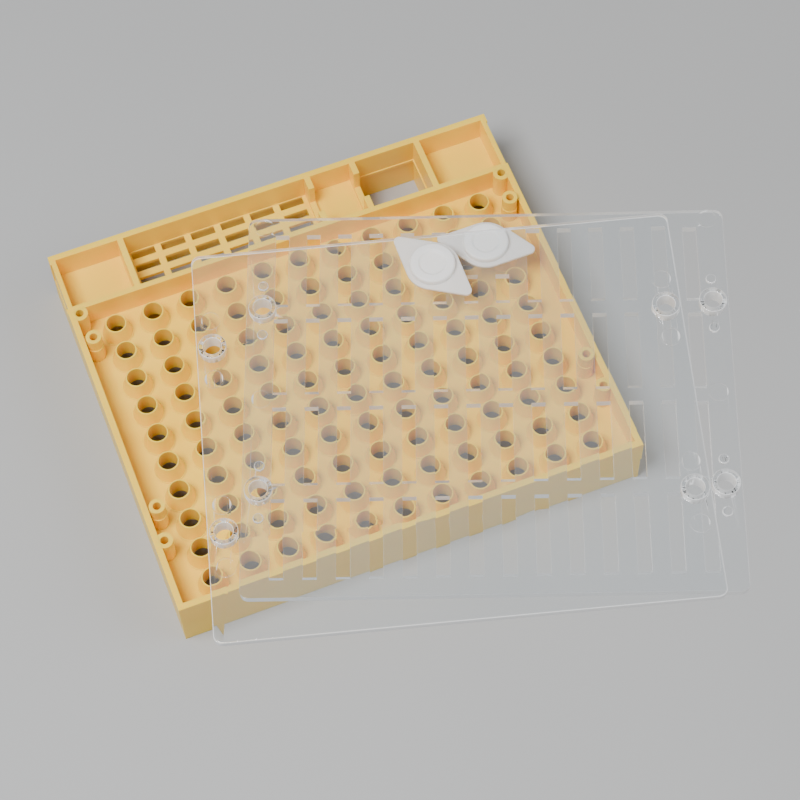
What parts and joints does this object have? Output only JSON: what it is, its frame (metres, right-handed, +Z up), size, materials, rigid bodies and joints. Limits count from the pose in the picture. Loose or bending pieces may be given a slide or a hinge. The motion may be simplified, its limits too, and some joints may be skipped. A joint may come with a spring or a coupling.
{
  "type": "queen-rearing cassette",
  "caption": "Shallow plastic tray with a grid of cell sockets for rearing queen bees, with a slotted excluder cover and a plain cover laid on it and a plug in each.",
  "frame": {"origin": "middle of the whole set's footprint, on the table that the tray lies on", "axes": "+Z up; +X to the tray's right, along its header; +Y from the near wall to the header"},
  "size_m": [0.2252, 0.2076, 0.04],
  "materials": {
    "cream_plastic": "satin injection-moulded plastic",
    "clear_plastic": "clear and glossy",
    "milky_plastic": "soft milky white, slightly translucent"
  },
  "bodies": {
    "tray": {"tray_wall_near": "cream_plastic", "tray_wall_far": "cream_plastic", "tray_wall_left": "cream_plastic", "tray_wall_right": "cream_plastic", "header_wall": "cream_plastic", "partition_1": "cream_plastic", "partition_2": "cream_plastic", "partition_3": "cream_plastic", "partition_4": "cream_plastic", "header_floor_left": "cream_plastic", "vent_grille": "cream_plastic", "header_floor_middle": "cream_plastic", "window_ledge_frame": "cream_plastic", "header_floor_right": "cream_plastic", "socket_floor": "cream_plastic", "stepped_posts": "cream_plastic", "plain_posts": "cream_plastic", "socket_column_01": "cream_plastic", "socket_column_02": "cream_plastic", "socket_column_03": "cream_plastic", "socket_column_04": "cream_plastic", "socket_column_05": "cream_plastic", "socket_column_06": "cream_plastic", "socket_column_07": "cream_plastic", "socket_column_08": "cream_plastic", "socket_column_09": "cream_plastic", "socket_column_10": "cream_plastic", "socket_column_11": "cream_plastic"},
    "excluder": {"excluder_cover": "clear_plastic", "excluder_collars": "clear_plastic", "excluder_studs": "clear_plastic"},
    "excluder_plug": {"excluder_plug": "milky_plastic"},
    "plain_lid": {"plain_cover": "clear_plastic", "plain_collars": "clear_plastic"},
    "plain_plug": {"plain_plug": "milky_plastic"}
  },
  "joints": [
    {"name": "excluder_lift", "type": "slide", "parent": "tray", "child": "excluder", "axis": [0, 0, 1], "range_m": [0, 0.06]},
    {"name": "plain_lift", "type": "slide", "parent": "excluder", "child": "plain_lid", "axis": [0, 0, 1], "range_m": [0, 0.06]},
    {"name": "excluder_plug_turn", "type": "hinge", "parent": "excluder", "child": "excluder_plug", "pos_m": [0.03116, 0.04919, 0.02791], "axis": [-0.0165, 0.0062, 0.9998], "continuous": true},
    {"name": "plain_plug_pull", "type": "slide", "parent": "plain_lid", "child": "plain_plug", "axis": [-0.0165, 0.0062, 0.9998], "range_m": [0, 0.018]}
  ]
}
